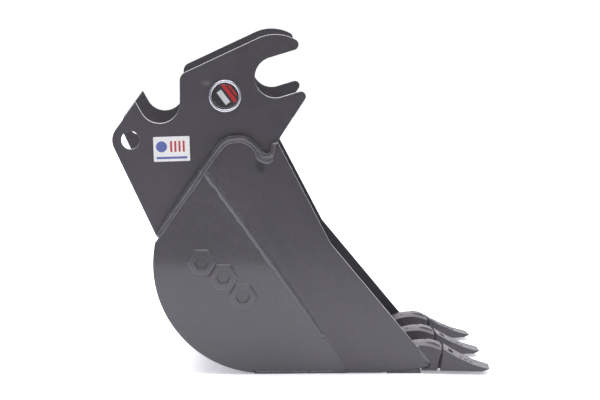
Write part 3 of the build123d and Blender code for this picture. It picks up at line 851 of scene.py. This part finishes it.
# ---------------------------------------------------------------- castings
CAST_VOXEL = 0.9               # grain of the skin before it is thinned
CAST_KEPT = 0.5                # share of a casting's faces that is kept


def final_mesh(obj):
    """The object's mesh with its modifiers worked in; the object itself is removed."""
    graph = bpy.context.evaluated_depsgraph_get()
    mesh = bpy.data.meshes.new_from_object(obj.evaluated_get(graph))
    bpy.data.objects.remove(obj)
    return mesh


def cast_piece(node_name, new_name, side, shape, material, rounds):
    """A CAD piece remade as a casting: one fine skin with softened edges, then its cast details."""
    blank = link_object("blank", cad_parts[node_name].data.copy())
    modify(blank, "join", "WELD", merge_threshold=JOIN_DISTANCE * MM)
    modify(blank, "skin", "REMESH", mode="VOXEL", voxel_size=CAST_VOXEL * MM)
    modify(blank, "ease", "SMOOTH", factor=0.5, iterations=rounds)
    mesh = final_mesh(blank)
    place = tooth_matrix(side)
    back = place.inverted()
    moved = [place @ shape(back @ (v.co / MM), back.to_3x3() @ v.normal) * MM for v in mesh.vertices]
    for vertex, point in zip(mesh.vertices, moved):
        vertex.co = point
    blank = link_object("blank", mesh)
    modify(blank, "thin", "DECIMATE", ratio=CAST_KEPT)
    return take_in(link_object(new_name, final_mesh(blank)), material, replaces=[node_name])


def step_between(low, high, value):
    """0 below low, 1 above high, and a smooth step between them."""
    t = min(1.0, max(0.0, (value - low) / (high - low)))
    return t * t * (3 - 2 * t)


def bar(value, centre, half, soft):
    """1 within half of a centre, and 0 past a soft edge."""
    return 1 - step_between(half, half + soft, abs(value - centre))


# Features of the middle adapter and tooth. A pair is where a step begins and where it is complete.
ADAPTER_FRONT = (291, 294)     # X; the nose ahead of it, inside the tooth, gets no details
COLLAR_STEP = (278, 282)       # X
COLLAR_SWELL = 0.9
CROWN_DROP = 5.2
CROWN_ACROSS = (8, 31)         # distance from the middle
CROWN_HEIGHT = (20, 50)        # Z
VENT_PIPS = ((214.0, -6.0), (232.0, -12.0), (232.0, 12.0))   # X, Y of each
PIP_DEPTH = 2.0
PIP_RADIUS = 2.2
PIP_EDGE = 1.8

TOOTH_REAR = (299, 303)        # X
DISH_START = (300, 312)        # X
DISH_END = (372, 386)          # X
DISH_ACROSS = (14, 22)         # distance from the middle
DISH_DEPTH = 0.9
SLOT_PAD = 311                 # X of its middle
PAD_HALF = (9.0, 12.5)         # along X, and across
PAD_RISE = 1.2
CAST_BARS = (332.0, 343.0, 354.0)   # X of each
CAST_BAR_HALF = (2.4, 9.0)
CAST_BAR_RISE = 1.9


def shape_adapter(p, facing):
    """Crowned top, a collar at the front, vent pips and a little unevenness of the mould."""
    across = abs(p.y)
    outward = math.copysign(1.0, p.y)
    body = 1 - step_between(*ADAPTER_FRONT, p.x)
    if body:
        p.z -= CROWN_DROP * body * step_between(*CROWN_ACROSS, across) * step_between(*CROWN_HEIGHT, p.z)
    if across > 21 and body:
        p.y += outward * COLLAR_SWELL * step_between(*COLLAR_STEP, p.x)
    if facing.z > 0.3 and across < 24 and body:
        for x, y in VENT_PIPS:
            p.z -= PIP_DEPTH * bar(math.hypot(p.x - x, p.y - y), 0, PIP_RADIUS, PIP_EDGE)
    wobble = noise.noise(p / 9.0) * 0.4
    return p + facing * wobble * body


def shape_tooth(p, facing):
    """Dished top with a low pad by the pin slot and short cast bars ahead of it."""
    before_tip = 1 - step_between(*DISH_END, p.x)
    if facing.z > 0.4 and p.z > 8:
        middle = 1 - step_between(*DISH_ACROSS, abs(p.y))
        p.z -= DISH_DEPTH * middle * step_between(*DISH_START, p.x) * before_tip
        p.z += PAD_RISE * bar(p.x, SLOT_PAD, PAD_HALF[0], 1.5) * bar(p.y, 0, PAD_HALF[1], 1.5)
        for centre in CAST_BARS:
            rise = CAST_BAR_RISE * bar(p.x, centre, CAST_BAR_HALF[0], 1.0)
            p.z += rise * bar(p.y, 0, CAST_BAR_HALF[1], 1.2)
    wobble = noise.noise(p / 8.0) * 0.3 * before_tip * step_between(*TOOTH_REAR, p.x)
    return p + facing * wobble


for side, name in THREE_SIDES:
    cast_piece(name + "_tooth_adapter", name + "_cast_adapter", side, shape_adapter, adapter_paint,
               rounds=12)
    cast_piece(name + "_tooth", name + "_cast_tooth", side, shape_tooth, tooth_paint, rounds=4)
    for half in ("front", "rear"):
        bevel_node(name + "_pin_" + half + "_half", pin_steel, width=0.5)
    bevel_node(name + "_pin_rubber_core", core_rubber, width=0.3)


# ---------------------------------------------------------------- badge
LATHE_STEPS = 96
RIM_STEPS = 12
RIM_WALL = 1.2                 # height of the rim's straight wall
DOME_STEPS = 8
DOME_EDGE = 0.9                # height of the dome's straight wall
DOME_RISE = 1.2


def lathe(name, profile, centre, y_base):
    """Turns a profile of (radius, height) about an axis along -Y."""
    rings = []
    for radius, height in profile:
        circle = [polar(centre, radius, 360 * i / LATHE_STEPS) for i in range(LATHE_STEPS)]
        rings.append([(x, y_base - height, z) for x, z in circle])
    return tube(name, rings)


def bezel_profile():
    """Half-round chrome rim, from the plate up and over to the face."""
    middle = (BADGE_RADIUS + BADGE_FACE_RADIUS) / 2
    half = (BADGE_RADIUS - BADGE_FACE_RADIUS) / 2
    rim = [(BADGE_RADIUS, 0.0), (BADGE_RADIUS, RIM_WALL)]
    for i in range(1, RIM_STEPS):
        angle = math.radians(180 * i / RIM_STEPS)
        rim.append((middle + half * math.cos(angle), RIM_WALL + (BADGE_HEIGHT - 1.3) * math.sin(angle)))
    return rim + [(BADGE_FACE_RADIUS, RIM_WALL), (BADGE_FACE_RADIUS - 0.3, 0.0)]


def face_profile():
    """Resin dome of the badge face."""
    edge = BADGE_FACE_RADIUS - 0.1
    dome = [(edge, 0.0), (edge, DOME_EDGE)]
    for i in range(1, DOME_STEPS + 1):
        radius = (BADGE_FACE_RADIUS - 0.4) * (1 - i / DOME_STEPS) + 0.05
        dome.append((radius, 1.0 + DOME_RISE * (1 - (radius / BADGE_FACE_RADIUS) ** 2)))
    return dome


bezel = lathe("badge_rim", bezel_profile(), BADGE_CENTRE, -SIDE_INNER)
take_in(bezel, bezel_chrome, replaces=["badge_bezel"])
dome = lathe("badge_dome", face_profile(), BADGE_CENTRE, -SIDE_INNER)
take_in(dome, badge_enamel, replaces=["badge_face"])


# ---------------------------------------------------------------- studio
FLOOR_HALF_WIDTH = 4.0         # the studio's sizes and places are in metres
FLOOR_NEAR = -1.3
FLOOR_FAR = 5.0
ROOM_LIGHT = (0.33, 2.4)       # strength in front, and on the walls behind
PAPER_LIGHT = 1.05             # strength of the background that the camera sees
OVERHEAD_SHARE = 0.62          # strength overhead, as a share of the way up ROOM_LIGHT

CAMERA_TARGET = (-0.003, 0.0, 0.3447)
CAMERA_DISTANCE = 3.237
CAMERA_YAW = 0.0484            # radians
CAMERA_PITCH = 0.159
CAMERA_ROLL = 0.0065
CAMERA_LENS = 90
SENSOR_WIDTH = 36


def studio_floor():
    """The plane that the bucket stands on, which isn't part of it."""
    corners = [(-FLOOR_HALF_WIDTH, FLOOR_NEAR, 0), (FLOOR_HALF_WIDTH, FLOOR_NEAR, 0),
               (FLOOR_HALF_WIDTH, FLOOR_FAR, 0), (-FLOOR_HALF_WIDTH, FLOOR_FAR, 0)]
    mesh = bpy.data.meshes.new("floor")
    mesh.from_pydata(corners, [], [(0, 1, 2, 3)])
    floor = link_object("floor", mesh)
    set_material(floor, floor_material("pale_floor"))


def studio_world():
    """Bright walls behind and above, a darker room in front, and plain white for the camera."""
    world = bpy.data.worlds.new("studio")
    bpy.context.scene.world = world
    world.use_nodes = True
    tree = world.node_tree
    tree.nodes.clear()
    direction = split(tree, add(tree, "ShaderNodeTexCoord", {}).outputs["Generated"])
    behind = ramp(tree, direction["Y"], -0.12, 0.20)
    above = ramp(tree, direction["Z"], 0.80, 0.97, 0.0, OVERHEAD_SHARE)
    level = ramp(tree, maths(tree, "MAXIMUM", behind, above), 0.0, 1.0, *ROOM_LIGHT)
    room, paper = [add(tree, "ShaderNodeBackground", {"Color": grey(1.0), "Strength": strength}).outputs[0]
                   for strength in (level, PAPER_LIGHT)]
    seen = add(tree, "ShaderNodeLightPath", {}).outputs["Is Camera Ray"]
    both = add(tree, "ShaderNodeMixShader", {0: seen, 1: room, 2: paper}).outputs[0]
    add(tree, "ShaderNodeOutputWorld", {"Surface": both})


def area_light(name, place, target, size, power):
    light = bpy.data.lights.new(name, "AREA")
    light.shape = "RECTANGLE"
    light.size, light.size_y = size
    light.energy = power
    obj = link_object(name, light)
    obj.location = place
    obj.rotation_euler = (Vector(target) - Vector(place)).to_track_quat("-Z", "Y").to_euler()


def studio_camera():
    """Long lens from the right side, a little above, turned slightly towards the teeth."""
    turn, tip, roll = CAMERA_YAW, CAMERA_PITCH, CAMERA_ROLL
    ahead = Vector((math.sin(turn) * math.cos(tip), math.cos(turn) * math.cos(tip), -math.sin(tip)))
    level = Vector((math.cos(turn), -math.sin(turn), 0))
    top = level.cross(ahead)
    across = level * math.cos(roll) + top * math.sin(roll)
    upward = top * math.cos(roll) - level * math.sin(roll)
    camera = bpy.data.cameras.new("camera")
    camera.lens = CAMERA_LENS
    camera.sensor_width = SENSOR_WIDTH
    camera.clip_start = 0.05
    camera.clip_end = 50
    obj = link_object("camera", camera)
    rotation = Matrix((across, upward, -ahead)).transposed()
    place = Vector(CAMERA_TARGET) - ahead * CAMERA_DISTANCE
    obj.matrix_world = Matrix.Translation(place) @ rotation.to_4x4()
    bpy.context.scene.camera = obj


studio_floor()
studio_world()
area_light("overhead", (-0.2, 0.6, 2.6), (0, 0.6, 0), (3.4, 3.0), 100)
area_light("front_fill", (-0.6, -2.6, 1.6), (0, 0, 0.3), (1.2, 0.9), 5)
studio_camera()
bpy.context.scene.view_settings.view_transform = "Standard"
